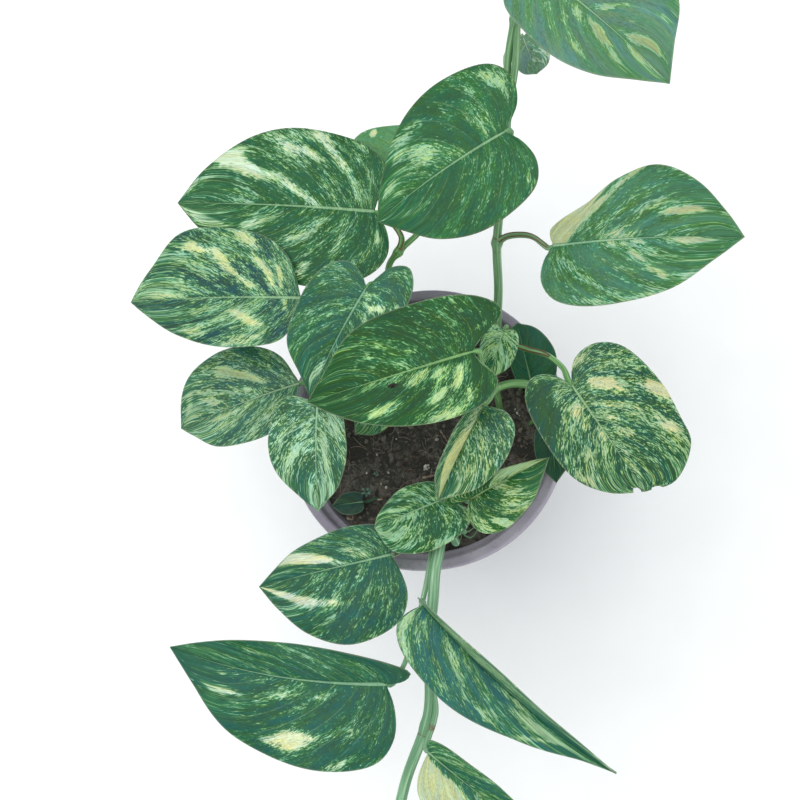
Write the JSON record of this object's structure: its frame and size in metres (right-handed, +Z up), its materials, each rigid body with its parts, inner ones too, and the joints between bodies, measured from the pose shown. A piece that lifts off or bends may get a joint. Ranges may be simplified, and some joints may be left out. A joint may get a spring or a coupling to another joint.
{
  "type": "potted pothos plant",
  "caption": "Pothos plant with cream and green marbled heart-shaped leaves on trailing stems, growing in soil in a round tapered nursery pot.",
  "frame": {"origin": "centre of the pot's underside, on the surface that the pot stands on", "axes": "+Z up along the pot's axis; +Y towards the leaves at the far side of the pot and +X towards the right-hand leaves, as seen from above with +Y at the top"},
  "size_m": [0.2992, 0.3996, 0.2642],
  "materials": {
    "pot": "satin",
    "soil": "matte",
    "stem": "satin",
    "leaf": "satin",
    "pale_leaf": "satin"
  },
  "bodies": {
    "root": {"pot": "pot", "soil": "soil", "vine_top": "stem", "vine_back_left": "stem", "vine_centre": "stem", "vine_right": "stem", "stalk_right_broad": "stem", "vine_front": "stem", "stalk_right_dark": "stem", "stalk_right_under": "stem", "stalk_on_soil": "stem", "leaf_top_right": "leaf", "leaf_top_small": "leaf", "leaf_top_heart": "leaf", "leaf_upper_left": "leaf", "leaf_far_left": "leaf", "leaf_left_low": "leaf", "leaf_left_rim": "leaf", "leaf_back_heart": "leaf", "leaf_centre": "leaf", "leaf_centre_small": "leaf", "leaf_right_dark": "leaf", "leaf_right_broad": "leaf", "leaf_right_upper": "leaf", "leaf_front_left": "leaf", "leaf_trail_left": "leaf", "leaf_trail_right": "leaf", "leaf_trail_end": "leaf", "leaf_front_round": "leaf", "leaf_folded": "leaf", "leaf_front_right": "leaf", "leaf_right_under": "leaf", "leaf_centre_under": "leaf", "leaf_on_soil": "leaf", "leaf_pale_back": "pale_leaf"}
  },
  "joints": []
}
